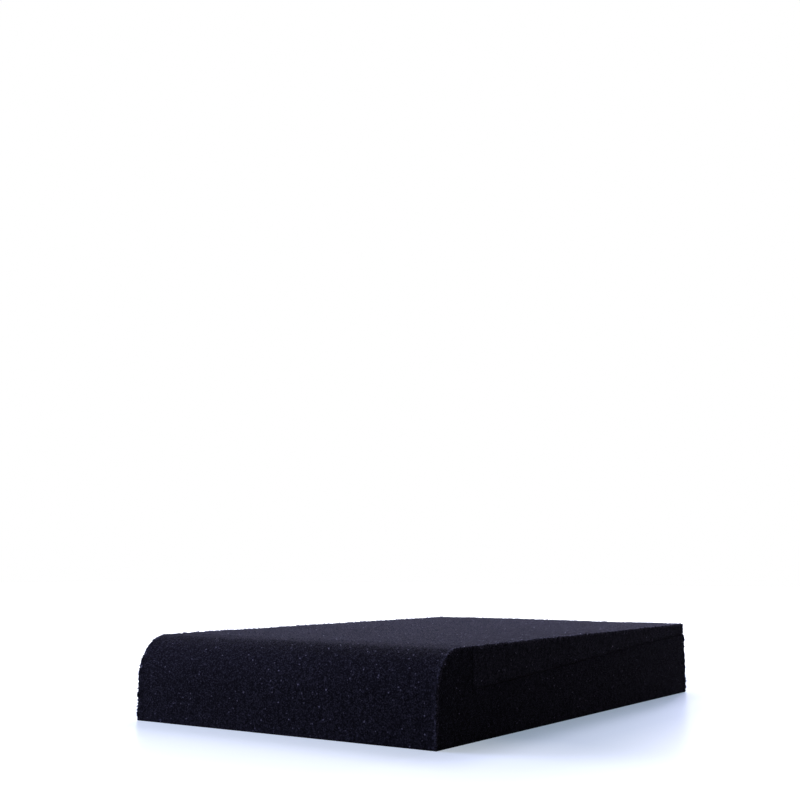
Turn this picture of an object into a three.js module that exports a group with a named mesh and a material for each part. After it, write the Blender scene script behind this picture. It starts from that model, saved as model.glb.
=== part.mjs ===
// Two-piece isolation pad for a desk loudspeaker, cut from open-cell foam.
// The base is a slab with a raised front lip whose top front edge is rounded over.
// Behind the lip the base falls away to a seat that climbs towards the rear.
// A loose tapered wedge lies in that seat, thick end against the lip, and brings the top up level.
// Millimetres, +X to the right, +Y to the rear, +Z up, origin at the centre of the underside.

import * as THREE from "three";

// Overall size of the pad
const padWidth = 170;
const padDepth = 280;
const padHeight = 40;

// Front lip: its depth along the top, and the quarter ellipse that rounds its front edge
const lipDepth = 28.5;
const noseRun = 18;
const noseDrop = 21;

// Sloping seat: its height above the desk at the lip and at the rear face
const seatHeightAtLip = 21.5;
const seatHeightAtRear = 34;

// Wedge: the slack it has against the lip and the seat, and how far it stops short of the rear face
const wedgeSlack = 0.3;
const wedgeSetback = 1.6;

// Flats that stand in for the round of the nose
const noseFlats = 28;

// Colours of the two cut foams, the wedge from a slightly greyer sheet
const baseFoam = { color: 0x17171c, roughness: 0.96, metalness: 0 };
const wedgeFoam = { color: 0x1c1c22, roughness: 0.96, metalness: 0 };

// Lines that both pieces share, measured along the depth
const frontY = -padDepth / 2;
const rearY = padDepth / 2;
const lipRearY = frontY + lipDepth;

// Height of the seat at a place along the depth.
function seatHeight(y) {
  const share = (y - lipRearY) / (rearY - lipRearY);
  return seatHeightAtLip + share * (seatHeightAtRear - seatHeightAtLip);
}

// Side outline of the base, with the depth across and the height up.
function baseOutline() {
  const outline = new THREE.Shape();
  outline.moveTo(frontY, 0);
  outline.lineTo(rearY, 0);
  outline.lineTo(rearY, seatHeightAtRear);
  outline.lineTo(lipRearY, seatHeightAtLip);
  outline.lineTo(lipRearY, padHeight);
  outline.lineTo(frontY + noseRun, padHeight);
  outline.absellipse(
    frontY + noseRun,
    padHeight - noseDrop,
    noseRun,
    noseDrop,
    Math.PI / 2,
    Math.PI,
  );
  outline.closePath();
  return outline;
}

// Side outline of the wedge, clear of the lip and the seat by its slack.
function wedgeOutline() {
  const thickEndY = lipRearY + wedgeSlack;
  const thinEndY = rearY - wedgeSetback;
  const outline = new THREE.Shape();
  outline.moveTo(thickEndY, seatHeight(thickEndY) + wedgeSlack);
  outline.lineTo(thinEndY, seatHeight(thinEndY) + wedgeSlack);
  outline.lineTo(thinEndY, padHeight);
  outline.lineTo(thickEndY, padHeight);
  outline.closePath();
  return outline;
}

// A side outline carried across the whole width of the pad, as a foam cutter's wire does.
function cutAcross(name, outline, foam) {
  const geometry = new THREE.ExtrudeGeometry(outline, {
    depth: padWidth,
    steps: 1,
    bevelEnabled: false,
    curveSegments: noseFlats,
  });
  const depthwise = new THREE.Vector3(0, 1, 0);
  const upwards = new THREE.Vector3(0, 0, 1);
  const sideways = new THREE.Vector3(1, 0, 0);
  geometry.applyMatrix4(new THREE.Matrix4().makeBasis(depthwise, upwards, sideways));
  const piece = new THREE.Mesh(geometry, new THREE.MeshStandardMaterial(foam));
  piece.name = name;
  piece.position.x = -padWidth / 2;
  return piece;
}

const pad = new THREE.Group();
pad.add(cutAcross("base_pad", baseOutline(), baseFoam));
pad.add(cutAcross("wedge_insert", wedgeOutline(), wedgeFoam));

export default pad;
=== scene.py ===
"""Foam isolation pad for a desk loudspeaker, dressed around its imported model.

The pad is two pieces of open-cell foam that a wire has cut straight across: a base with a rounded
front lip and a sloping seat, and a loose wedge that lies in the seat. Lengths are in metres, +X to
the right, +Y to the rear and +Z up, with the origin under the middle of the pad.
"""

from __future__ import annotations

import logging
import math
from dataclasses import dataclass, field
from enum import Enum

import bpy
import numpy as np
from mathutils import Matrix, Vector
from mathutils.geometry import delaunay_2d_cdt


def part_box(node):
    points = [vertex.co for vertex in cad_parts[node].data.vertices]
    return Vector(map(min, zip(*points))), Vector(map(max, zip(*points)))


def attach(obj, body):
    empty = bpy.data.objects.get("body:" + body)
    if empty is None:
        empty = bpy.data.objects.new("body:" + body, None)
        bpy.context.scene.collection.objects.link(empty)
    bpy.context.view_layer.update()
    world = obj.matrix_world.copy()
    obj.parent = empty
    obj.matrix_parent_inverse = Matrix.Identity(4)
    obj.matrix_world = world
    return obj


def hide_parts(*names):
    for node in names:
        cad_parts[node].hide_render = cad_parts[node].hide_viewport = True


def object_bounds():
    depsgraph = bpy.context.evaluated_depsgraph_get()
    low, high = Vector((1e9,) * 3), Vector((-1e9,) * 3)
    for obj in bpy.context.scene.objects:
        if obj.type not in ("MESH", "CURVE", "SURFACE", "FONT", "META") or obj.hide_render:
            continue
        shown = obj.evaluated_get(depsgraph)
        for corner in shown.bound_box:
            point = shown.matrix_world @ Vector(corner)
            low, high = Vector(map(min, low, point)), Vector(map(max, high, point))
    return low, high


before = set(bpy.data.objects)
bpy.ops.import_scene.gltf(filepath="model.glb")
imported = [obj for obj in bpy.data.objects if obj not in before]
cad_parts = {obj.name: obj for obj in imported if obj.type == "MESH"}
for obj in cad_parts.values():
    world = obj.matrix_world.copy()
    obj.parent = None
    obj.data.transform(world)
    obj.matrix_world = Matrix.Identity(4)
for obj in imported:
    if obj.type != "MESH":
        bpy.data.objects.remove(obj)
cad_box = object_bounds()

log = logging.getLogger("isolation_pad")

MM = 0.001
BODY = "root"

# Columns of a row of coordinates
ACROSS, DEPTH, HEIGHT = 0, 1, 2

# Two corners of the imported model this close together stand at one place
SAME_PLACE = 0.01 * MM

# Points of the foam this close together are made one
MERGED = 0.001 * MM

# Attributes that the skin leaves for the cell cutter
CELL_WEIGHT = "cell_weight"
ARRIS = "arris"

# Attributes that the cell cutter leaves for the finish, which paints shade in the pits and highlights on
# standing strut ends and open arrises
PIT = "pit"
TIP_HIGHLIGHT = "tip"
# Open arrises, where the finish paints a highlight
ARRIS_HIGHLIGHT = "arris_share"

Colour = tuple[float, float, float]
Point = tuple[float, float, float]
Place = tuple[float, float]
Span = tuple[float, float]

# Detail of a plain noise and of a finer one, and the part of the range that their values mostly lie in
PLAIN_DETAIL = 1.0
PLAIN_NOISE: Span = (0.25, 0.75)
FINE_DETAIL = 3.0
FINE_NOISE: Span = (0.3, 0.7)

# A wear or a mark from none to full
NONE_TO_FULL: Span = (0.0, 1.0)

# A swing from full one way to full the other way
BOTH_WAYS: Span = (-1.0, 1.0)

# Value of a pit's mark above which it is counted as a pit
PIT_COUNTED = 0.5

# Inputs and output of a mix node that hold colours, and of a random value node that hold numbers
MIX_FIRST, MIX_SECOND, MIX_RESULT = 6, 7, 2
CHANCE_LOW, CHANCE_HIGH, CHANCE_RESULT = 2, 3, 1

WHITE: Colour = (1.0, 1.0, 1.0)


class Showing(Enum):
    """How much of a foam face can be seen on the finished pad."""

    OPEN = "open"
    COVERED = "covered"


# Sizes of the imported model


def corners_of(node: str) -> np.ndarray:
    """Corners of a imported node.

    Args:
        node: Name of the node.

    Returns:
        One row of three coordinates for each corner.
    """
    return np.array([tuple(v.co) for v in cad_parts[node].data.vertices])


def reach(corners: np.ndarray, held: int, at: float, measured: int) -> Span:
    """Lowest and highest coordinate among the corners that stand in one plane.

    Args:
        corners: Rows of three coordinates.
        held: Column that the plane holds still.
        at: Value of that column in the plane.
        measured: Column to measure.

    Returns:
        The lowest and the highest value of the measured column.
    """
    row = corners[np.abs(corners[:, held] - at) < SAME_PLACE][:, measured]
    return float(row.min()), float(row.max())


@dataclass(frozen=True)
class PadSizes:
    """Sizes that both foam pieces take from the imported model.

    Attributes:
        half_width: Half of the pad's width.
        front: Depth at which the front face stands.
        rear: Depth at which the base's rear face stands.
        top: Height of the level top.
        lip_rear: Depth at which the lip ends and the seat begins.
        seat_front: Height of the seat at the lip.
        seat_rear: Height of the seat at the rear face.
        nose_run: Depth of the round on the lip's front edge.
        nose_drop: Height of that round.
        wedge_front: Depth of the wedge's thick end.
        wedge_rear: Depth of the wedge's thin end.
        wedge_front_foot: Height of the wedge's underside at its thick end.
        wedge_rear_foot: Height of the wedge's underside at its thin end.
    """

    half_width: float
    front: float
    rear: float
    top: float
    lip_rear: float
    seat_front: float
    seat_rear: float
    nose_run: float
    nose_drop: float
    wedge_front: float
    wedge_rear: float
    wedge_front_foot: float
    wedge_rear_foot: float

    @classmethod
    def from_frame(cls) -> PadSizes:
        """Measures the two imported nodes.

        Returns:
            The sizes of the pad.
        """
        low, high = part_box("base_pad")
        wedge_low, wedge_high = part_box("wedge_insert")
        base = corners_of("base_pad")
        wedge = corners_of("wedge_insert")
        nose_end, lip_rear = reach(base, HEIGHT, high.z, DEPTH)
        return cls(
            half_width=high.x,
            front=low.y,
            rear=high.y,
            top=high.z,
            lip_rear=lip_rear,
            seat_front=reach(base, DEPTH, lip_rear, HEIGHT)[0],
            seat_rear=reach(base, DEPTH, high.y, HEIGHT)[1],
            nose_run=nose_end - low.y,
            nose_drop=high.z - reach(base, DEPTH, low.y, HEIGHT)[1],
            wedge_front=wedge_low.y,
            wedge_rear=wedge_high.y,
            wedge_front_foot=reach(wedge, DEPTH, wedge_low.y, HEIGHT)[0],
            wedge_rear_foot=reach(wedge, DEPTH, wedge_high.y, HEIGHT)[0],
        )


# Outlines and the skin that is stretched over them


@dataclass(frozen=True)
class Stretch:
    """Part of a side outline between two arrises, which a straight cut carries across the pad.

    Attributes:
        places: Depth and height of each place along the stretch.
        showing: How much can be seen of the face that the stretch makes.
    """

    places: np.ndarray
    showing: Showing

    @classmethod
    def straight(cls, start: Place, end: Place, showing: Showing) -> Stretch:
        """A stretch with no bend in it."""
        return cls(np.array([start, end]), showing)

    @property
    def openness(self) -> float:
        """1 where the face can be seen, and 0 where it is covered."""
        return 1.0 if self.showing is Showing.OPEN else 0.0

    @property
    def travel(self) -> np.ndarray:
        """Length of the stretch up to each of its places."""
        steps = np.linalg.norm(np.diff(self.places, axis=0), axis=1)
        return np.concatenate(([0.0], np.cumsum(steps)))

    def at(self, travel: np.ndarray) -> np.ndarray:
        """Places at given lengths along the stretch.

        Args:
            travel: Lengths from the start of the stretch.

        Returns:
            One row of depth and height for each length.
        """
        return np.column_stack([np.interp(travel, self.travel, column) for column in self.places.T])


def clearance(places: np.ndarray, polygon: np.ndarray) -> np.ndarray:
    """Distance from a polygon's border.

    Args:
        places: Flat places, one to a row.
        polygon: Corners of the polygon, in order.

    Returns:
        One distance for each place, negative outside the polygon.
    """
    nearest = np.full(len(places), np.inf)
    inside = np.zeros(len(places), bool)
    for start, end in zip(polygon, np.roll(polygon, -1, axis=0)):
        side = end - start
        offset = places - start
        share = np.clip(offset @ side / (side @ side), 0.0, 1.0)
        nearest = np.minimum(nearest, np.linalg.norm(offset - share[:, None] * side, axis=1))
        if side[1]:
            crossing = start[0] + offset[:, 1] * side[0] / side[1]
            level = (start[1] > places[:, 1]) != (end[1] > places[:, 1])
            inside ^= level & (places[:, 0] < crossing)
    return np.where(inside, nearest, -nearest)


@dataclass
class FoamSkin:
    """Closed skin of a foam block, made of triangles with uneven corners.

    Every corner of the skin becomes the middle of one foam cell, so the corners lie about one cell
    apart where the face can be seen, and further apart where it is covered.

    Attributes:
        outline: Stretches of the side outline, in order, with the foam on their left.
        half_width: Half of the block's width.
        cell: Distance between the middles of neighbouring cells.
        arris_cell: The same distance along an arris.
        widest: Most that corners lie apart on a covered face.
        arris_row: Distance from an arris to the first row of corners beside it.
        seed: Seed of the unevenness.
        shake: Share of its spacing by which a corner on a face may lie off its place.
        arris_shake: The same share along an arris.
        band_rows: Rows of corners in each band of a covered face.
        band_growth: How many times further apart the corners lie in each next band.
        row_share: Share of an open arris's mark that the row beside it has.
        row_clear: Share of the row's distance that its corners keep from every arris.
        vertices: Corners of each filled face.
        faces: Triangles of each filled face.
        marks: Cell weight and arris mark at each corner of each filled face; the arris mark raises strut
            ends and is where the finish paints a highlight.
    """

    outline: list[Stretch]
    half_width: float
    cell: float
    arris_cell: float = 0.85 * MM
    widest: float = 6.0 * MM
    arris_row: float = 0.45 * MM
    seed: int = 1
    shake: float = 0.29
    arris_shake: float = 0.2
    band_rows: float = 2.0
    band_growth: float = 2.0
    row_share: float = 0.55
    row_clear: float = 0.9
    vertices: list[np.ndarray] = field(default_factory=list, init=False)
    faces: list[np.ndarray] = field(default_factory=list, init=False)
    marks: list[np.ndarray] = field(default_factory=list, init=False)

    def __post_init__(self) -> None:
        """Starts the row of random numbers."""
        self.random = np.random.default_rng(self.seed)

    def uneven_steps(self, length: float) -> np.ndarray:
        """Unevenly spaced places along an arris.

        Args:
            length: Length of the arris.

        Returns:
            Distances from one end of the arris to the other, about one arris cell apart.
        """
        steps = np.linspace(0.0, length, max(2, round(length / self.arris_cell)) + 1)
        shift = self.random.uniform(-self.arris_shake, self.arris_shake, len(steps) - 2)
        steps[1:-1] += shift * self.arris_cell
        return steps

    def lattice(self, low: np.ndarray, high: np.ndarray, spacing: float) -> np.ndarray:
        """Shaken triangular lattice over a rectangle.

        Args:
            low: Lowest corner of the rectangle.
            high: Highest corner of the rectangle.
            spacing: Distance between neighbouring places.

        Returns:
            One flat place to a row.
        """
        row_height = spacing * math.sqrt(3.0) / 2.0
        first, second = np.meshgrid(
            np.arange(low[0], high[0], spacing), np.arange(low[1], high[1], row_height)
        )
        first[1::2] += spacing / 2.0
        places = np.column_stack((first.ravel(), second.ravel()))
        return places + self.random.uniform(-self.shake, self.shake, places.shape) * spacing

    def inner_places(self, corners: np.ndarray, showing: Showing) -> np.ndarray:
        """Places inside a flat face, in bands that widen inwards on a covered face.

        Args:
            corners: Corners of the face.
            showing: How much of the face can be seen.

        Returns:
            One flat place to a row.
        """
        bands = []
        spacing = self.cell
        near = self.arris_row + spacing / 2.0
        far = 0.0
        while far < math.inf:
            last = showing is Showing.OPEN or spacing * self.band_growth > self.widest
            far = math.inf if last else near + self.band_rows * spacing
            places = self.lattice(corners.min(0), corners.max(0), spacing)
            gap = clearance(places, corners)
            bands.append(places[(gap > near) & (gap < far)])
            near = far + spacing / 2.0
            spacing *= self.band_growth
        return np.vstack(bands)

    def fill(
        self, border: np.ndarray, arris_openness: np.ndarray, corners: np.ndarray, showing: Showing
    ) -> tuple[np.ndarray, np.ndarray, np.ndarray]:
        """Fills a flat face with triangles.

        Args:
            border: Places along the whole border of the face, anticlockwise.
            arris_openness: How open the arris is at each of those places, from 0 to 1; open arrises get high
                strut ends and a painted highlight.
            corners: Corners of the face, anticlockwise.
            showing: How much of the face can be seen.

        Returns:
            The places, the triangles between them, and the cell weight and arris mark at each place.
        """
        side = np.roll(border, -1, axis=0) - border
        inward = np.column_stack((-side[:, 1], side[:, 0]))
        inward *= self.arris_row / np.linalg.norm(side, axis=1, keepdims=True)
        beside = border + side / 2.0 + inward
        clear = clearance(beside, corners) > self.arris_row * self.row_clear
        beside = beside[clear]
        inner = self.inner_places(corners, showing)
        places = np.vstack((border, beside, inner))
        loop = [(i, (i + 1) % len(border)) for i in range(len(border))]
        found = delaunay_2d_cdt([Vector(p) for p in places], loop, [], 1, MERGED)
        # The arris mark raises the strut ends and is where the finish paints a highlight; it is weaker in
        # the row beside the arris and nil inside the face
        arris_share = np.concatenate((arris_openness, arris_openness[clear] * self.row_share, np.zeros(len(inner))))
        weight = np.full(len(places), 1.0 if showing is Showing.OPEN else 0.0)
        marks = np.column_stack((weight, arris_share))
        return np.array([tuple(p) for p in found[0]]), np.array(found[2]), marks

    def add(self, vertices: np.ndarray, faces: np.ndarray, marks: np.ndarray) -> None:
        """Keeps one filled face of the block.

        Args:
            vertices: Corners of the face.
            faces: Triangles between those corners.
            marks: Cell weight and arris mark at each corner.
        """
        self.faces.append(faces + sum(len(v) for v in self.vertices))
        self.vertices.append(vertices)
        self.marks.append(marks)

    def mesh(self, name: str) -> bpy.types.Mesh:
        """Builds the whole skin.

        Args:
            name: Name of the mesh.

        Returns:
            A mesh whose faces still have to be welded to each other along the arrises.
        """
        across = self.uneven_steps(2.0 * self.half_width) - self.half_width
        edge_places, edge_openness = [], []
        for place, stretch in enumerate(self.outline):
            before, after = self.outline[place - 1], self.outline[(place + 1) % len(self.outline)]
            along = self.uneven_steps(stretch.travel[-1])
            edge_places.append(stretch.at(along)[:-1])
            edge_openness.append(np.full(len(along) - 1, stretch.openness))
            end_openness = (before.openness * stretch.openness, stretch.openness * after.openness)
            self.add(*self.swept_face(stretch, end_openness, along, across))
        border = np.vstack(edge_places)
        corners = np.vstack([stretch.places[:-1] for stretch in self.outline])
        places, faces, marks = self.fill(border, np.concatenate(edge_openness), corners, Showing.OPEN)
        for side, turned in ((self.half_width, faces), (-self.half_width, faces[:, ::-1])):
            self.add(np.column_stack((np.full(len(places), side), places)), turned, marks)
        mesh = bpy.data.meshes.new(name)
        mesh.from_pydata(np.vstack(self.vertices).tolist(), [], np.vstack(self.faces).tolist())
        for attribute, column in zip((CELL_WEIGHT, ARRIS), np.vstack(self.marks).T):
            stored = mesh.attributes.new(attribute, "FLOAT", "POINT")
            stored.data.foreach_set("value", column.astype(np.float32))
        return mesh

    def swept_face(
        self, stretch: Stretch, end_openness: Span, along: np.ndarray, across: np.ndarray
    ) -> tuple[np.ndarray, np.ndarray, np.ndarray]:
        """Fills the face that one stretch makes as it is carried across the block.

        Args:
            stretch: Stretch of the outline.
            end_openness: How open the cross arrises are where the stretch starts and where it ends.
            along: Places of the side arrises' corners along the stretch.
            across: Places of the cross arrises' corners across the block.

        Returns:
            The corners, the triangles between them, and the cell weight and arris mark at each corner.
        """
        length, low, high = along[-1], across[0], across[-1]
        border = np.vstack(
            (
                [(travel, low) for travel in along[:-1]],
                [(length, x) for x in across[:-1]],
                [(travel, high) for travel in along[:0:-1]],
                [(0.0, x) for x in across[:0:-1]],
            )
        )
        runs = (len(along) - 1, len(across) - 1) * 2
        arris_openness = np.repeat((stretch.openness, end_openness[1], stretch.openness, end_openness[0]), runs)
        corners = np.array([(0.0, low), (length, low), (length, high), (0.0, high)])
        places, faces, marks = self.fill(border, arris_openness, corners, stretch.showing)
        return np.column_stack((places[:, 1], stretch.at(places[:, 0]))), faces, marks


# Node trees


class Wiring:
    """Adds nodes to a tree and links them up."""

    def __init__(self, tree: bpy.types.NodeTree) -> None:
        """Keeps the tree that the nodes go to."""
        self.tree = tree

    def add(
        self, kind: str, feeds: dict[int | str, object] | None = None, **settings: object
    ) -> bpy.types.Node:
        """Adds one node.

        Args:
            kind: Type of the node.
            feeds: What goes into the node's inputs, by name or number: a socket or a plain value.
            **settings: The node's own settings.

        Returns:
            The new node.
        """
        node = self.tree.nodes.new(kind)
        for setting, value in settings.items():
            setattr(node, setting, value)
        for key, value in (feeds or {}).items():
            if isinstance(value, bpy.types.NodeSocket):
                self.tree.links.new(value, node.inputs[key])
            else:
                node.inputs[key].default_value = value
        return node

    def maths(self, operation: str, first: object, second: object = 0.0) -> bpy.types.NodeSocket:
        """Result of one sum on two numbers."""
        return self.add("ShaderNodeMath", {0: first, 1: second}, operation=operation).outputs[0]

    def product(self, first: object, *others: object) -> bpy.types.NodeSocket:
        """Product of numbers.

        Args:
            first: Socket or plain value.
            *others: More of them.

        Returns:
            The socket that gives the product.
        """
        for other in others:
            first = self.maths("MULTIPLY", first, other)
        return first

    def stretch(
        self, value: object, source: tuple[object, object], target: tuple[object, object]
    ) -> bpy.types.NodeSocket:
        """A value moved from one range to another, held at its ends.

        Args:
            value: Socket or plain value.
            source: Ends of the range that the value comes from.
            target: Ends of the range that it goes to.

        Returns:
            The socket that gives the moved value.
        """
        ends = {"From Min": source[0], "From Max": source[1], "To Min": target[0], "To Max": target[1]}
        return self.add("ShaderNodeMapRange", {"Value": value, **ends}).outputs["Result"]

    def blend(self, share: object, first: object, second: object) -> bpy.types.NodeSocket:
        """Two colours blended by a share.

        Args:
            share: Share of the second colour.
            first: Colour at a share of 0.
            second: Colour at a share of 1.

        Returns:
            The socket that gives the blended colour.
        """
        feeds = {0: share, MIX_FIRST: first, MIX_SECOND: second}
        return self.add("ShaderNodeMix", feeds, data_type="RGBA").outputs[MIX_RESULT]


def opaque(colour: Colour) -> tuple[float, float, float, float]:
    """A colour as a colour socket takes it, with nothing showing through."""
    return (*colour, 1.0)


def open_sockets(tree: bpy.types.NodeTree, ins: dict[str, str], outs: dict[str, str]) -> None:
    """Gives a tree its named inputs and outputs.

    Args:
        tree: The node tree.
        ins: Socket type of each input, by name.
        outs: Socket type of each output, by name.
    """
    for way, sockets in (("INPUT", ins), ("OUTPUT", outs)):
        for name, kind in sockets.items():
            tree.interface.new_socket(name, in_out=way, socket_type=kind)


@dataclass(frozen=True)
class CellCut:
    """How the open cells of one foam are cut.

    Attributes:
        pit_depth: Depth of a usual cell below the cut face.
        depth_spread: Share by which cells are deeper or shallower.
        arris_depth: Share of that depth that the cells along an arris have.
        rim_drop: Most that a strut between cells lies below the cut face.
        tip_rise: Most that a cut strut end stands above it.
        arris_rise: The same along an arris.
        wave_height: Most that the cut face strays from flat.
        wave_size: Length of such a wave.
        seed: Seed of everything random.
    """

    pit_depth: float = 0.26 * MM
    depth_spread: float = 0.5
    arris_depth: float = 0.7
    rim_drop: float = 0.12 * MM
    tip_rise: float = 0.17 * MM
    arris_rise: float = 0.95 * MM
    wave_height: float = 0.15 * MM
    wave_size: float = 45.0 * MM
    seed: int = 3


class CellCutter:
    """Geometry Nodes tree that turns a foam block's skin into open cells.

    The skin is welded and its corners become cells, whose strut ends are set at chance heights. The
    waves of the wire's cut are laid over the cells, and each is then pressed in to a pit.
    """

    # Cell weight above which a face gets a pit
    LEAST_WEIGHT = 0.005

    # How rare high strut ends are on a face and along an open arris: a chance is raised to this power
    TIP_RARITY: Span = (2.5, 1.7)

    def __init__(self) -> None:
        """Builds the tree."""
        self.tree = bpy.data.node_groups.new("open_cells", "GeometryNodeTree")
        sizes = ("Pit Depth", "Depth Spread", "Arris Depth", "Rim Drop", "Tip Rise", "Arris Rise")
        ins = {"Geometry": "NodeSocketGeometry"}
        ins.update({name: "NodeSocketFloat" for name in (*sizes, "Wave Height", "Wave Size")})
        ins.update({"Seed": "NodeSocketInt", "Foam": "NodeSocketMaterial"})
        open_sockets(self.tree, ins, {"Geometry": "NodeSocketGeometry"})
        self.wiring = Wiring(self.tree)
        self.given = self.wiring.add("NodeGroupInput").outputs
        self.weight = self.named(CELL_WEIGHT)
        self.arris = self.named(ARRIS)
        self.build()

    def build(self) -> None:
        """Wires the tree from its input to its output."""
        add, given = self.wiring.add, self.given
        welded = add("GeometryNodeMergeByDistance", {"Geometry": given["Geometry"], "Distance": MERGED})
        cells = add("GeometryNodeDualMesh", {"Mesh": welded.outputs[0], "Keep Boundaries": False})
        waved = self.cut_waves(self.uneven_rims(cells.outputs[0]))
        rested = self.rested(self.pits(waved))
        smooth = add("GeometryNodeSetShadeSmooth", {"Geometry": rested})
        real = add("GeometryNodeRealizeInstances", {"Geometry": smooth.outputs[0]})
        dressed = add("GeometryNodeSetMaterial", {"Geometry": real.outputs[0], "Material": given["Foam"]})
        add("NodeGroupOutput", {"Geometry": dressed.outputs[0]})

    def named(self, name: str) -> bpy.types.NodeSocket:
        """A number that the geometry carries."""
        kind = "GeometryNodeInputNamedAttribute"
        return self.wiring.add(kind, {"Name": name}, data_type="FLOAT").outputs[0]

    def marked(
        self, geometry: bpy.types.NodeSocket, name: str, value: bpy.types.NodeSocket
    ) -> bpy.types.NodeSocket:
        """Stores a number at each point.

        Args:
            geometry: The geometry.
            name: Name under which it carries the number.
            value: The number.

        Returns:
            The geometry with its mark.
        """
        feeds = {"Geometry": geometry, "Name": name, "Value": value}
        store = self.wiring.add(
            "GeometryNodeStoreNamedAttribute", feeds, data_type="FLOAT", domain="POINT"
        )
        return store.outputs[0]

    def chance(self, low: object, high: object, turn: float) -> bpy.types.NodeSocket:
        """Random number between two ends.

        Args:
            low: Lowest that it may be.
            high: Highest that it may be.
            turn: What tells this row of random numbers from the others.

        Returns:
            The socket that gives the number.
        """
        seed = self.wiring.maths("ADD", self.given["Seed"], turn)
        feeds = {CHANCE_LOW: low, CHANCE_HIGH: high, "Seed": seed}
        drawn = self.wiring.add("FunctionNodeRandomValue", feeds, data_type="FLOAT")
        return drawn.outputs[CHANCE_RESULT]

    def pushed(
        self, geometry: bpy.types.NodeSocket, height: bpy.types.NodeSocket
    ) -> bpy.types.NodeSocket:
        """Pushes each point of a seen face along its normal.

        Args:
            geometry: The geometry.
            height: How far the points go.

        Returns:
            The pushed geometry.
        """
        add = self.wiring.add
        normal = add("GeometryNodeInputNormal").outputs["Normal"]
        length = self.wiring.product(height, self.weight)
        shift = add("ShaderNodeVectorMath", {0: normal, "Scale": length}, operation="SCALE")
        return add("GeometryNodeSetPosition", {"Geometry": geometry, "Offset": shift.outputs[0]}).outputs[0]

    def uneven_rims(self, cells: bpy.types.NodeSocket) -> bpy.types.NodeSocket:
        """Sets the strut ends at chance heights, most a little low and a few standing up.

        Args:
            cells: The flat cells.

        Returns:
            The cells with uneven rims.
        """
        wiring, given = self.wiring, self.given
        rarity = wiring.stretch(self.arris, NONE_TO_FULL, self.TIP_RARITY)
        tip = wiring.maths("POWER", self.chance(0.0, 1.0, 0.0), rarity)
        # The marks below tell the finish where to paint highlights: on strut ends that stand up and along
        # open arrises
        marked = self.marked(cells, TIP_HIGHLIGHT, wiring.product(tip, self.weight))
        arris_share = self.marked(marked, ARRIS_HIGHLIGHT, self.arris)
        highest = wiring.stretch(self.arris, NONE_TO_FULL, (given["Tip Rise"], given["Arris Rise"]))
        lowest = wiring.product(given["Rim Drop"], -1.0)
        return self.pushed(arris_share, wiring.stretch(tip, NONE_TO_FULL, (lowest, highest)))

    def cut_waves(self, cells: bpy.types.NodeSocket) -> bpy.types.NodeSocket:
        """Lays the long waves of the wire's cut over the cells.

        Args:
            cells: The cells on their straight faces.

        Returns:
            The cells on waved faces.
        """
        wiring, given = self.wiring, self.given
        scale = wiring.maths("DIVIDE", 1.0, given["Wave Size"])
        noise = wiring.add(
            "ShaderNodeTexNoise",
            {"W": given["Seed"], "Scale": scale, "Detail": PLAIN_DETAIL},
            noise_dimensions="4D",
        )
        swing = wiring.stretch(noise.outputs["Fac"], PLAIN_NOISE, BOTH_WAYS)
        return self.pushed(cells, wiring.product(swing, given["Wave Height"]))

    def pits(self, cells: bpy.types.NodeSocket) -> bpy.types.NodeSocket:
        """Presses each cell in to a pit that ends in one point.

        Args:
            cells: The cells with their rims.

        Returns:
            The pitted foam.
        """
        wiring, add, given = self.wiring, self.wiring.add, self.given
        low = wiring.maths("SUBTRACT", 1.0, given["Depth Spread"])
        high = wiring.maths("ADD", 1.0, given["Depth Spread"])
        at_arris = wiring.stretch(self.arris, NONE_TO_FULL, (1.0, given["Arris Depth"]))
        depth = wiring.product(self.chance(low, high, 1.0), self.weight, at_arris, given["Pit Depth"])
        pressed = add(
            "GeometryNodeExtrudeMesh",
            {
                "Mesh": cells,
                "Selection": wiring.maths("GREATER_THAN", self.weight, self.LEAST_WEIGHT),
                "Offset Scale": wiring.product(depth, -1.0),
                "Individual": True,
            },
            mode="FACES",
        )
        floor = pressed.outputs["Top"]
        # Each pit's floor is marked, and the finish paints shade there
        marked = self.marked(pressed.outputs["Mesh"], PIT, floor)
        feeds = {"Geometry": marked, "Selection": floor, "Scale": 0.0}
        shrunk = add("GeometryNodeScaleElements", feeds, domain="FACE")
        feeds = {"Geometry": shrunk.outputs[0], "Distance": MERGED}
        return add("GeometryNodeMergeByDistance", feeds).outputs[0]

    def rested(self, foam: bpy.types.NodeSocket) -> bpy.types.NodeSocket:
        """Keeps every point at or above the level that the block stands on.

        Args:
            foam: The pitted foam.

        Returns:
            The foam with nothing below that level.
        """
        wiring, add = self.wiring, self.wiring.add
        lowest = add("GeometryNodeBoundBox", {"Geometry": self.given["Geometry"]}).outputs["Min"]
        level = add("ShaderNodeSeparateXYZ", {0: lowest}).outputs["Z"]
        here = add("ShaderNodeSeparateXYZ", {0: add("GeometryNodeInputPosition").outputs[0]}).outputs
        feeds = {0: here["X"], 1: here["Y"], 2: wiring.maths("MAXIMUM", here["Z"], level)}
        held = add("ShaderNodeCombineXYZ", feeds).outputs[0]
        return add("GeometryNodeSetPosition", {"Geometry": foam, "Position": held}).outputs[0]

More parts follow.
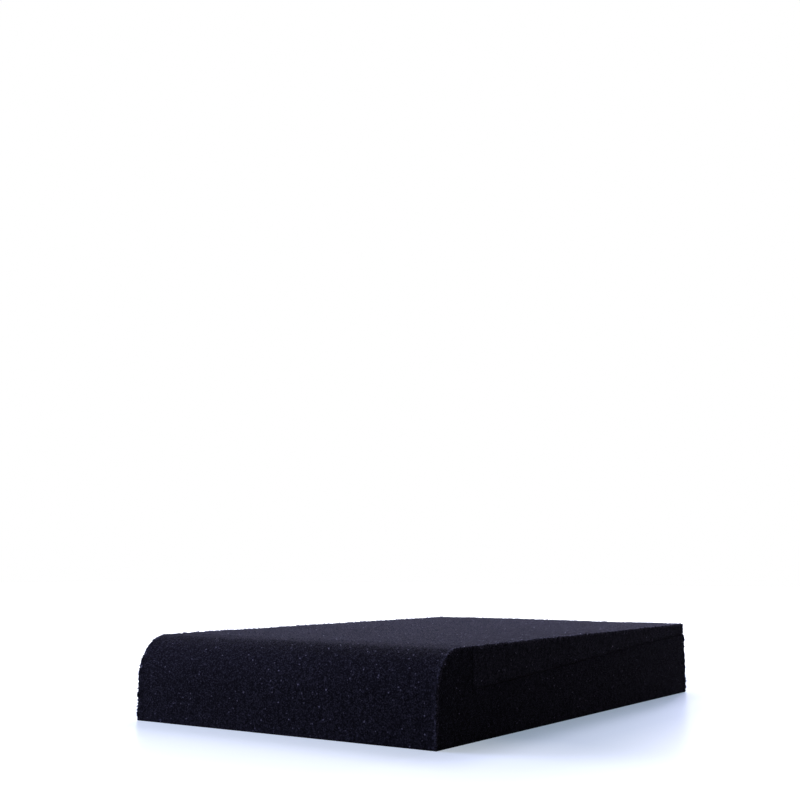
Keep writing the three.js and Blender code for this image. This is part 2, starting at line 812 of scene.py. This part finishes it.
    def cut(
        self, skin: bpy.types.Mesh, name: str, settings: CellCut, foam: bpy.types.Material
    ) -> bpy.types.Object:
        """Cuts the cells into a skin.

        Args:
            skin: The skin, with the weight of the cell at each corner.
            name: Name of the finished piece.
            settings: How the cells are cut.
            foam: Material of the piece.

        Returns:
            A piece with a plain mesh and no modifier.
        """
        block = bpy.data.objects.new(f"{name}_block", skin)
        bpy.context.scene.collection.objects.link(block)
        modifier = block.modifiers.new("open_cells", "NODES")
        modifier.node_group = self.tree
        values = {
            "Pit Depth": settings.pit_depth,
            "Depth Spread": settings.depth_spread,
            "Arris Depth": settings.arris_depth,
            "Rim Drop": settings.rim_drop,
            "Tip Rise": settings.tip_rise,
            "Arris Rise": settings.arris_rise,
            "Wave Height": settings.wave_height,
            "Wave Size": settings.wave_size,
            "Seed": settings.seed,
            "Foam": foam,
        }
        for socket in self.tree.interface.items_tree:
            if socket.name in values:
                modifier[socket.identifier] = values[socket.name]
        evaluated = block.evaluated_get(bpy.context.evaluated_depsgraph_get())
        mesh = bpy.data.meshes.new_from_object(evaluated)
        mesh.name = name
        block.modifiers.remove(modifier)
        bpy.data.objects.remove(block)
        piece = bpy.data.objects.new(name, mesh)
        bpy.context.scene.collection.objects.link(piece)
        return piece


# Shader node groups that both foams use


class ShaderGroups:
    """The shared effects of the foam finishes, each built once."""

    def __init__(self) -> None:
        """Builds the groups."""
        self.grain = self.build_grain()
        self.clouds = self.build_clouds()
        self.glints = self.build_glints()

    @staticmethod
    def opened(name: str, ins: tuple[str, ...], outs: tuple[str, ...]) -> tuple[Wiring, object]:
        """Starts a group.

        Args:
            name: Name of the group.
            ins: Names of its number inputs, after the Vector input that each group has.
            outs: Names of its number outputs.

        Returns:
            The wiring of the group and the outputs of its input node.
        """
        tree = bpy.data.node_groups.new(name, "ShaderNodeTree")
        floats = {socket: "NodeSocketFloat" for socket in ins}
        open_sockets(tree, {"Vector": "NodeSocketVector", **floats}, {s: "NodeSocketFloat" for s in outs})
        wiring = Wiring(tree)
        return wiring, wiring.add("NodeGroupInput").outputs

    def build_grain(self) -> bpy.types.NodeTree:
        """Fine cells: how near the next strut is, and a tone for each cell, most dark and a few light.

        Returns:
            The group.
        """
        ins = ("Cell Size", "Strut Share", "Rarity")
        wiring, given = self.opened("foam_grain", ins, ("Strut", "Tone"))
        scale = wiring.maths("DIVIDE", 1.0, given["Cell Size"])
        feeds = {"Vector": given["Vector"], "Scale": scale}
        edge = wiring.add("ShaderNodeTexVoronoi", feeds, feature="DISTANCE_TO_EDGE").outputs["Distance"]
        cell = wiring.add("ShaderNodeTexVoronoi", feeds).outputs["Color"]
        strut = wiring.add(
            "ShaderNodeMapRange",
            {"Value": edge, "From Min": 0.0, "From Max": given["Strut Share"], "To Min": 1.0, "To Max": 0.0},
            interpolation_type="SMOOTHSTEP",
        )
        chance = wiring.add("ShaderNodeSeparateColor", {"Color": cell}).outputs[0]
        tone = wiring.maths("POWER", chance, given["Rarity"])
        wiring.add("NodeGroupOutput", {"Strut": strut.outputs[0], "Tone": tone})
        return wiring.tree

    def build_clouds(self) -> bpy.types.NodeTree:
        """Broad soft patches, as a number about one.

        Returns:
            The group.
        """
        wiring, given = self.opened("foam_clouds", ("Patch Size", "Strength"), ("Factor",))
        scale = wiring.maths("DIVIDE", 1.0, given["Patch Size"])
        feeds = {"Vector": given["Vector"], "Scale": scale, "Detail": FINE_DETAIL}
        noise = wiring.add("ShaderNodeTexNoise", feeds)
        swing = wiring.stretch(noise.outputs["Fac"], FINE_NOISE, BOTH_WAYS)
        factor = wiring.maths("ADD", wiring.product(swing, given["Strength"]), 1.0)
        wiring.add("NodeGroupOutput", {"Factor": factor})
        return wiring.tree

    def build_glints(self) -> bpy.types.NodeTree:
        """Sparse cut strut ends that catch the light.

        Returns:
            The group.
        """
        wiring, given = self.opened("foam_glints", ("Spacing", "Size Share", "Share"), ("Mask",))
        scale = wiring.maths("DIVIDE", 1.0, given["Spacing"])
        spot = wiring.add("ShaderNodeTexVoronoi", {"Vector": given["Vector"], "Scale": scale})
        chance = wiring.add("ShaderNodeSeparateColor", {"Color": spot.outputs["Color"]}).outputs[0]
        drawn = wiring.maths("LESS_THAN", chance, given["Share"])
        near = wiring.maths("LESS_THAN", spot.outputs["Distance"], given["Size Share"])
        wiring.add("NodeGroupOutput", {"Mask": wiring.product(drawn, near)})
        return wiring.tree


@dataclass(frozen=True)
class FoamFinish:
    """Finish of one charcoal foam.

    Attributes:
        name: Name of the material.
        colour: Linear colour of the cut face.
        pit_shade: Share of that colour left at the bottom of a cell, as painted shade in the pit.
        tip_highlight_gain: How many times lighter a strut end is painted where it stands up, as a painted
            highlight.
        arris_highlight_gain: How many times lighter the colour is painted along an open arris, as a painted
            highlight for the light that an edge catches.
        rim_highlight_gain: How many times lighter still such an arris is painted at a grazing angle, as a
            painted rim highlight.
        rim_highlight_narrow: How quickly that painted highlight fades as the foam turns to the viewer.
        cloud_size: Size of the broad patches.
        cloud_strength: Share by which the patches are lighter or darker.
        grain_size: Size of the fine cells between the modelled ones.
        grain_depth: Depth of the fine cells.
        grain_strut: Share of a fine cell that its struts take up.
        tone_spread: Share by which most fine cells are darker than the colour.
        tone_rarity: How rare the lighter fine cells are.
        pore_and_strut_light: Lightness of a fine cell's middle and of its struts, where 1 is the colour:
            painted shade in the pore and a painted highlight on the struts.
        strut_rough: Roughness of a fine cell's middle and of its struts.
        glint_spacing: Distance between the places where a strut end may catch the light.
        glint_size: Share of that distance that a glint is across.
        glint_share: Share of those places that have one.
        glint_gain: How many times lighter a glint is.
        specular: Specular level of the foam.
        sheen: Weight of the pale bloom at a grazing angle.
        sheen_rough: Roughness of that bloom.
    """

    name: str
    colour: Colour
    pit_shade: float = 0.75
    tip_highlight_gain: float = 1.35
    arris_highlight_gain: float = 2.4
    rim_highlight_gain: float = 4.0
    rim_highlight_narrow: float = 2.0
    cloud_size: float = 30.0 * MM
    cloud_strength: float = 0.1
    grain_size: float = 0.45 * MM
    grain_depth: float = 0.08 * MM
    grain_strut: float = 0.3
    tone_spread: float = 0.48
    tone_rarity: float = 3.0
    pore_and_strut_light: Span = (0.9, 1.25)
    strut_rough: Span = (1.0, 0.82)
    glint_spacing: float = 1.2 * MM
    glint_size: float = 0.35
    glint_share: float = 0.06
    glint_gain: float = 5.0
    specular: float = 0.005
    sheen: float = 0.05
    sheen_rough: float = 0.2

    def material(self, groups: ShaderGroups) -> bpy.types.Material:
        """Builds the material.

        Args:
            groups: The shared effects.

        Returns:
            The finished material.
        """
        material = bpy.data.materials.new(self.name)
        material.use_nodes = True
        material.node_tree.nodes.clear()
        wiring = Wiring(material.node_tree)
        place = wiring.add("ShaderNodeTexCoord").outputs["Object"]
        grain = wiring.add(
            "ShaderNodeGroup",
            {
                "Vector": place,
                "Cell Size": self.grain_size,
                "Strut Share": self.grain_strut,
                "Rarity": self.tone_rarity,
            },
            node_tree=groups.grain,
        ).outputs
        # The colour is scaled by painted shade and highlights on the modelled cells, a painted rim highlight
        # on open arrises, the fine cells' random tone with painted pore shade and strut highlight, painted
        # glints and broad patches
        level = wiring.product(
            self.cell_light(wiring),
            self.rim_highlight(wiring),
            self.grain_light(wiring, grain),
            self.glint_light(wiring, place, groups),
            self.cloud_light(wiring, place, groups),
        )
        tint = wiring.add("ShaderNodeVectorMath", {0: self.colour, "Scale": level}, operation="SCALE")
        bump = wiring.add("ShaderNodeBump", {"Distance": self.grain_depth, "Height": grain["Strut"]})
        surface = wiring.add(
            "ShaderNodeBsdfPrincipled",
            {
                "Base Color": tint.outputs[0],
                "Roughness": wiring.stretch(grain["Strut"], NONE_TO_FULL, self.strut_rough),
                "Specular IOR Level": self.specular,
                "Sheen Weight": self.sheen,
                "Sheen Roughness": self.sheen_rough,
                "Normal": bump.outputs[0],
            },
        )
        wiring.add("ShaderNodeOutputMaterial", {"Surface": surface.outputs[0]})
        return material

    def cell_light(self, wiring: Wiring) -> bpy.types.NodeSocket:
        """Lightness over the modelled cells: painted shade in the pits, and painted highlights on strut ends
        that stand up and along open arrises.

        Args:
            wiring: The material's wiring.

        Returns:
            The socket that gives the lightness, where 1 is the colour as written.
        """
        pit, tip, arris_share = (
            wiring.add("ShaderNodeAttribute", attribute_name=name).outputs["Fac"]
            for name in (PIT, TIP_HIGHLIGHT, ARRIS_HIGHLIGHT)
        )
        # Painted shade at the bottom of each pit and a painted highlight on each strut end that stands up
        lit = wiring.maths("SUBTRACT", tip, pit)
        shade = wiring.stretch(lit, BOTH_WAYS, (self.pit_shade, self.tip_highlight_gain))
        # Painted highlight along open arrises
        return wiring.product(shade, wiring.stretch(arris_share, NONE_TO_FULL, (1.0, self.arris_highlight_gain)))

    def rim_highlight(self, wiring: Wiring) -> bpy.types.NodeSocket:
        """Painted rim highlight on an open arris, lighter where the foam turns from the viewer, standing in
        for light behind its thin struts.

        Args:
            wiring: The material's wiring.

        Returns:
            The socket that gives the lightness.
        """
        facing = wiring.add("ShaderNodeLayerWeight").outputs["Facing"]
        arris_share = wiring.add("ShaderNodeAttribute", attribute_name=ARRIS_HIGHLIGHT).outputs["Fac"]
        # Painted rim highlight, lighter along an open arris as the foam turns away from the viewer
        share = wiring.product(wiring.maths("POWER", facing, self.rim_highlight_narrow), arris_share)
        return wiring.stretch(share, NONE_TO_FULL, (1.0, self.rim_highlight_gain))

    def grain_light(self, wiring: Wiring, grain: bpy.types.bpy_prop_collection) -> bpy.types.NodeSocket:
        """Lightness over the fine cells, one about the mean: a tone that differs at random from cell to
        cell, with painted shade in each cell's middle and a painted highlight on its struts.

        Args:
            wiring: The material's wiring.
            grain: Outputs of the grain effect.

        Returns:
            The socket that gives the lightness.
        """
        most = 1.0 + self.tone_rarity * self.tone_spread
        tone = wiring.stretch(grain["Tone"], NONE_TO_FULL, (1.0 - self.tone_spread, most))
        # Painted shade in each fine pore and a painted highlight on its struts, over the random tone
        return wiring.product(tone, wiring.stretch(grain["Strut"], NONE_TO_FULL, self.pore_and_strut_light))

    def glint_light(
        self, wiring: Wiring, place: bpy.types.NodeSocket, groups: ShaderGroups
    ) -> bpy.types.NodeSocket:
        """Lightness of the sparse strut ends that catch the light.

        Args:
            wiring: The material's wiring.
            place: Place on the object.
            groups: The shared effects.

        Returns:
            The socket that gives the lightness.
        """
        feeds = {
            "Vector": place,
            "Spacing": self.glint_spacing,
            "Size Share": self.glint_size,
            "Share": self.glint_share,
        }
        glints = wiring.add("ShaderNodeGroup", feeds, node_tree=groups.glints).outputs["Mask"]
        return wiring.stretch(glints, NONE_TO_FULL, (1.0, self.glint_gain))

    def cloud_light(
        self, wiring: Wiring, place: bpy.types.NodeSocket, groups: ShaderGroups
    ) -> bpy.types.NodeSocket:
        """Lightness of the broad patches.

        Args:
            wiring: The material's wiring.
            place: Place on the object.
            groups: The shared effects.

        Returns:
            The socket that gives the lightness.
        """
        feeds = {"Vector": place, "Patch Size": self.cloud_size, "Strength": self.cloud_strength}
        return wiring.add("ShaderNodeGroup", feeds, node_tree=groups.clouds).outputs["Factor"]


BASE_CHARCOAL = FoamFinish("base_charcoal_foam", (0.0091, 0.0087, 0.0117))
WEDGE_CHARCOAL = FoamFinish("wedge_charcoal_foam", (0.0120, 0.0116, 0.0152))

# The two foam pieces


@dataclass
class FoamPiece:
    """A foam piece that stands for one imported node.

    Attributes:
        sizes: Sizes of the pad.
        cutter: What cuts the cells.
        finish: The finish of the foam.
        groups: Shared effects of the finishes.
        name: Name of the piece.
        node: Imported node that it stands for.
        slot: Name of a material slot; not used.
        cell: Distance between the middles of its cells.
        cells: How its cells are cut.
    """

    sizes: PadSizes
    cutter: CellCutter
    finish: FoamFinish
    groups: ShaderGroups
    name: str
    node: str
    slot: str
    cell: float
    cells: CellCut = CellCut()

    def outline(self) -> list[Stretch]:
        """Side outline of the piece, with the foam on its left."""
        raise NotImplementedError

    def make(self) -> bpy.types.Object:
        """Returns:
            The finished piece.
        """
        skin = FoamSkin(self.outline(), self.sizes.half_width, self.cell, seed=self.cells.seed)
        foam = self.finish.material(self.groups)
        piece = self.cutter.cut(skin.mesh(self.name), self.name, self.cells, foam)
        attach(piece, BODY)
        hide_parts(self.node)
        triangles = sum(len(face.vertices) - 2 for face in piece.data.polygons)
        log.info("%s: %d cells cut, %d triangles", self.name, self.pits(piece), triangles)
        return piece

    @staticmethod
    def pits(piece: bpy.types.Object) -> int:
        """Counts the pits in a piece.

        Args:
            piece: The piece.

        Returns:
            The number of pits.
        """
        marks = piece.data.attributes[PIT].data
        values = np.zeros(len(marks), np.float32)
        marks.foreach_get("value", values)
        return int((values > PIT_COUNTED).sum())


@dataclass
class BasePad(FoamPiece):
    """The base: a slab with a rounded front lip and a seat that climbs to the rear.

    Attributes:
        nose_steps: Straight steps that make up the lip's round.
    """

    name: str = "base_foam_pad"
    node: str = "base_pad"
    slot: str = "base_foam"
    cell: float = 1.32 * MM
    nose_steps: int = 28

    def nose(self) -> np.ndarray:
        """Quarter ellipse that rounds the lip's front edge.

        Returns:
            One row of depth and height for each step, from the top down.
        """
        sizes = self.sizes
        turn = np.linspace(math.pi / 2.0, math.pi, self.nose_steps + 1)
        depth = sizes.front + sizes.nose_run * (1.0 + np.cos(turn))
        height = sizes.top - sizes.nose_drop * (1.0 - np.sin(turn))
        return np.column_stack((depth, height))

    def outline(self) -> list[Stretch]:
        """Side outline of the base.

        Returns:
            Its stretches, from the underside round by way of the rear.
        """
        sizes = self.sizes
        toe, heel = (sizes.front, 0.0), (sizes.rear, 0.0)
        seat_rear, seat_front = (sizes.rear, sizes.seat_rear), (sizes.lip_rear, sizes.seat_front)
        lip_top = (sizes.lip_rear, sizes.top)
        return [
            Stretch.straight(toe, heel, Showing.COVERED),
            Stretch.straight(heel, seat_rear, Showing.OPEN),
            Stretch.straight(seat_rear, seat_front, Showing.COVERED),
            Stretch.straight(seat_front, lip_top, Showing.COVERED),
            Stretch(np.vstack((lip_top, self.nose(), toe)), Showing.OPEN),
        ]


@dataclass
class WedgeInsert(FoamPiece):
    """The wedge: a loose taper that lies in the seat and brings the top up level."""

    name: str = "wedge_foam_insert"
    node: str = "wedge_insert"
    slot: str = "wedge_foam"
    cell: float = 1.58 * MM
    cells: CellCut = CellCut(seed=11)

    def outline(self) -> list[Stretch]:
        """Side outline of the wedge.

        Returns:
            Its stretches, from the underside round by way of the rear.
        """
        sizes = self.sizes
        toe = (sizes.wedge_front, sizes.wedge_front_foot)
        heel = (sizes.wedge_rear, sizes.wedge_rear_foot)
        rear_top, front_top = (sizes.wedge_rear, sizes.top), (sizes.wedge_front, sizes.top)
        return [
            Stretch.straight(toe, heel, Showing.COVERED),
            Stretch.straight(heel, rear_top, Showing.OPEN),
            Stretch.straight(rear_top, front_top, Showing.OPEN),
            Stretch.straight(front_top, toe, Showing.COVERED),
        ]


# The studio


@dataclass(frozen=True)
class Lamp:
    """A soft rectangular lamp aimed at the pad.

    Attributes:
        name: Name of the lamp.
        place: Where the lamp hangs.
        size: Side of the square that shines.
        level: How brightly it lights a face turned to it at the pad, where 1 shows a colour as written.
        colour: Linear colour of the light.
        aim: Point that it is turned to.
    """

    name: str
    place: Point
    size: float
    level: float
    colour: Colour
    aim: Point = (0.0, 0.0, 0.02)

    def hang(self) -> None:
        """Adds the lamp to the scene."""
        data = bpy.data.lights.new(self.name, "AREA")
        data.shape = "SQUARE"
        data.size = self.size
        way = Vector(self.aim) - Vector(self.place)
        data.energy = self.level * (math.pi * way.length) ** 2
        data.color = self.colour
        lamp = bpy.data.objects.new(self.name, data)
        lamp.location = self.place
        lamp.rotation_euler = way.to_track_quat("-Z", "Y").to_euler()
        bpy.context.scene.collection.objects.link(lamp)


@dataclass(frozen=True)
class Studio:
    """White table, pale surroundings, soft lamps and the camera.

    Attributes:
        camera_place: Where the camera stands.
        camera_turn: Degrees that the camera is turned to the left of straight ahead.
        camera_tilt: Degrees that it looks up.
        camera_roll: Degrees that it leans.
        lens: Focal length in millimetres.
        sensor: Width of the sensor in millimetres.
        clip_near: Distance from the camera at which it begins to see.
        floor_half: Half of the table top's side.
        floor_seen: Linear colour of the table top for the camera.
        floor_bounce: Its linear colour for the light that it throws back on the pad.
        floor_gloss: Roughness of the table top.
        floor_glow: Glow that only the camera sees in the pad's shade, on top of the lamps' light; kept dim
            there, it paints a shadow of the pad on the table top.
        shade_far: Distance from the painted shadow at which that glow has grown to plain white.
        shade_lean: How far the painted shadow is moved from under the pad, to the right and to the rear.
        room_level: How brightly the surroundings light the pad.
        room_colour: Linear colour of that light.
        lamps: The lamps.
    """

    camera_place: Point = (0.34312, -0.55135, 0.07308)
    camera_turn: float = 33.875
    camera_tilt: float = 8.134
    camera_roll: float = 0.136
    lens: float = 52.759
    sensor: float = 36.0
    clip_near: float = 10.0 * MM
    floor_half: float = 4.0
    floor_seen: Colour = (0.3, 0.33, 0.37)
    floor_bounce: Colour = (0.2, 0.2, 0.2)
    floor_gloss: float = 0.3
    floor_glow: Colour = (0.22, 0.28, 0.34)
    shade_far: float = 230.0 * MM
    shade_lean: Place = (38.0 * MM, 56.0 * MM)
    room_level: float = 0.05
    room_colour: Colour = (0.9, 0.9, 1.2)
    lamps: tuple[Lamp, ...] = (
        Lamp("key_lamp", (-1.0, -0.42, 0.42), size=0.6, level=2.05, colour=(0.84, 0.89, 1.38)),
        Lamp("top_lamp", (-0.35, 0.75, 1.0), size=0.6, level=1.0, colour=(0.97, 0.96, 1.12)),
        Lamp("rear_lamp", (0.06, 1.0, 0.32), size=0.4, level=1.1, colour=(0.92, 0.86, 1.35)),
    )

    def set_up(self) -> None:
        """Builds the whole studio."""
        scene = bpy.context.scene
        scene.view_settings.view_transform = "Standard"
        self.add_camera()
        self.add_floor()
        self.add_room()
        for lamp in self.lamps:
            lamp.hang()
        log.info("studio: camera, floor, surroundings and %d lamps", len(self.lamps))

    def add_camera(self) -> None:
        """Adds the camera and makes it the scene's own."""
        data = bpy.data.cameras.new("camera")
        data.lens = self.lens
        data.sensor_width = self.sensor
        data.clip_start = self.clip_near
        camera = bpy.data.objects.new("camera", data)
        turn = Matrix.Rotation(math.radians(self.camera_turn), 4, "Z")
        tilt = Matrix.Rotation(math.radians(90.0 + self.camera_tilt), 4, "X")
        roll = Matrix.Rotation(math.radians(self.camera_roll), 4, "Z")
        camera.matrix_world = Matrix.Translation(self.camera_place) @ turn @ tilt @ roll
        bpy.context.scene.collection.objects.link(camera)
        bpy.context.scene.camera = camera

    def add_floor(self) -> None:
        """Adds the glossy white table top."""
        half = self.floor_half
        corners = [(-half, -half, 0.0), (half, -half, 0.0), (half, half, 0.0), (-half, half, 0.0)]
        mesh = bpy.data.meshes.new("floor")
        mesh.from_pydata(corners, [], [(0, 1, 2, 3)])
        mesh.materials.append(self.floor_material())
        floor = bpy.data.objects.new("floor", mesh)
        bpy.context.scene.collection.objects.link(floor)

    def floor_material(self) -> bpy.types.Material:
        """White gloss that shows the pad's shadow and its blurred reflection, with a painted shadow of the
        pad in the glow that only the camera sees.

        Returns:
            The finished material.
        """
        material = bpy.data.materials.new("table_top")
        material.use_nodes = True
        material.node_tree.nodes.clear()
        wiring = Wiring(material.node_tree)
        seen = wiring.add("ShaderNodeLightPath").outputs["Is Camera Ray"]
        # The camera-only glow is dim in the leaned shade around the pad and grows to white away from it: a
        # painted shadow
        open_floor = wiring.stretch(self.shade_distance(wiring), (0.0, self.shade_far), NONE_TO_FULL)
        surface = wiring.add(
            "ShaderNodeBsdfPrincipled",
            {
                "Base Color": wiring.blend(seen, opaque(self.floor_bounce), opaque(self.floor_seen)),
                "Roughness": self.floor_gloss,
                "Emission Color": wiring.blend(open_floor, opaque(self.floor_glow), opaque(WHITE)),
                "Emission Strength": seen,
            },
        )
        wiring.add("ShaderNodeOutputMaterial", {"Surface": surface.outputs[0]})
        return material

    def shade_distance(self, wiring: Wiring) -> bpy.types.NodeSocket:
        """Distance of a place on the table top from the pad's painted shadow.

        Args:
            wiring: The floor material's wiring.

        Returns:
            The socket that gives the distance, 0 where the painted shadow is full.
        """
        place = wiring.add("ShaderNodeTexCoord").outputs["Object"]
        feeds = {0: place, 1: (*self.shade_lean, 0.0)}
        leaned = wiring.add("ShaderNodeVectorMath", feeds, operation="SUBTRACT").outputs[0]
        mirrored = wiring.add("ShaderNodeVectorMath", {0: leaned}, operation="ABSOLUTE").outputs[0]
        _, (half_width, half_depth, _) = cad_box
        feeds = {0: mirrored, 1: (half_width, half_depth, 0.0)}
        past = wiring.add("ShaderNodeVectorMath", feeds, operation="SUBTRACT").outputs[0]
        feeds = {0: past, 1: (0.0, 0.0, 0.0)}
        outside = wiring.add("ShaderNodeVectorMath", feeds, operation="MAXIMUM").outputs[0]
        return wiring.add("ShaderNodeVectorMath", {0: outside}, operation="LENGTH").outputs["Value"]

    def add_room(self) -> None:
        """Surroundings that look white, and light the pad gently."""
        world = bpy.data.worlds.new("room")
        world.use_nodes = True
        world.node_tree.nodes.clear()
        wiring = Wiring(world.node_tree)
        path = wiring.add("ShaderNodeLightPath").outputs
        mirrored = wiring.maths("MAXIMUM", path["Is Glossy Ray"], path["Is Transmission Ray"])
        seen = wiring.maths("MAXIMUM", path["Is Camera Ray"], mirrored)
        white = wiring.add("ShaderNodeBackground", {"Color": opaque(WHITE), "Strength": 1.0})
        feeds = {"Color": opaque(self.room_colour), "Strength": self.room_level}
        gentle = wiring.add("ShaderNodeBackground", feeds)
        mixed = wiring.add("ShaderNodeMixShader", {0: seen, 1: gentle.outputs[0], 2: white.outputs[0]})
        wiring.add("ShaderNodeOutputWorld", {"Surface": mixed.outputs[0]})
        bpy.context.scene.world = world


def main() -> None:
    """Builds the studio and the two foam pieces."""
    logging.basicConfig(level=logging.INFO, format="%(name)s: %(message)s")
    Studio().set_up()
    sizes = PadSizes.from_frame()
    cutter = CellCutter()
    groups = ShaderGroups()
    BasePad(sizes, cutter, BASE_CHARCOAL, groups).make()
    WedgeInsert(sizes, cutter, WEDGE_CHARCOAL, groups).make()


if __name__ == "__main__":
    main()
